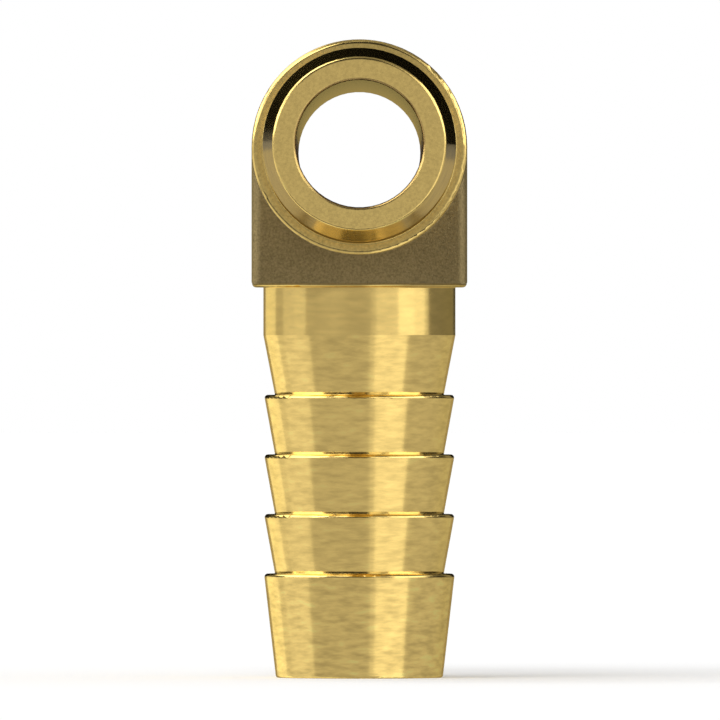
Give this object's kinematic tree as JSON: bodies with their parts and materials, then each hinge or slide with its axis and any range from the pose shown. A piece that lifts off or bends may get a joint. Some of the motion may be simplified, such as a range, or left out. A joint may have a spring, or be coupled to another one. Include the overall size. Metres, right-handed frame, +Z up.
{
  "type": "tee hose connector",
  "caption": "Brass tee that joins hoses: a barbed tail on every arm, turned shoulders, and a forged block where the bores meet.",
  "frame": {"origin": "where the axes of the run and the branch cross, at the middle of the forged block", "axes": "+Y along the run, +Z up and away from the branch, which points along -Z, +X across the run"},
  "size_m": [0.0162, 0.0798, 0.048],
  "materials": {
    "brass": "forged matte block, turned tails and shoulders"
  },
  "bodies": {
    "root": {"tee_body": "brass"}
  },
  "joints": []
}
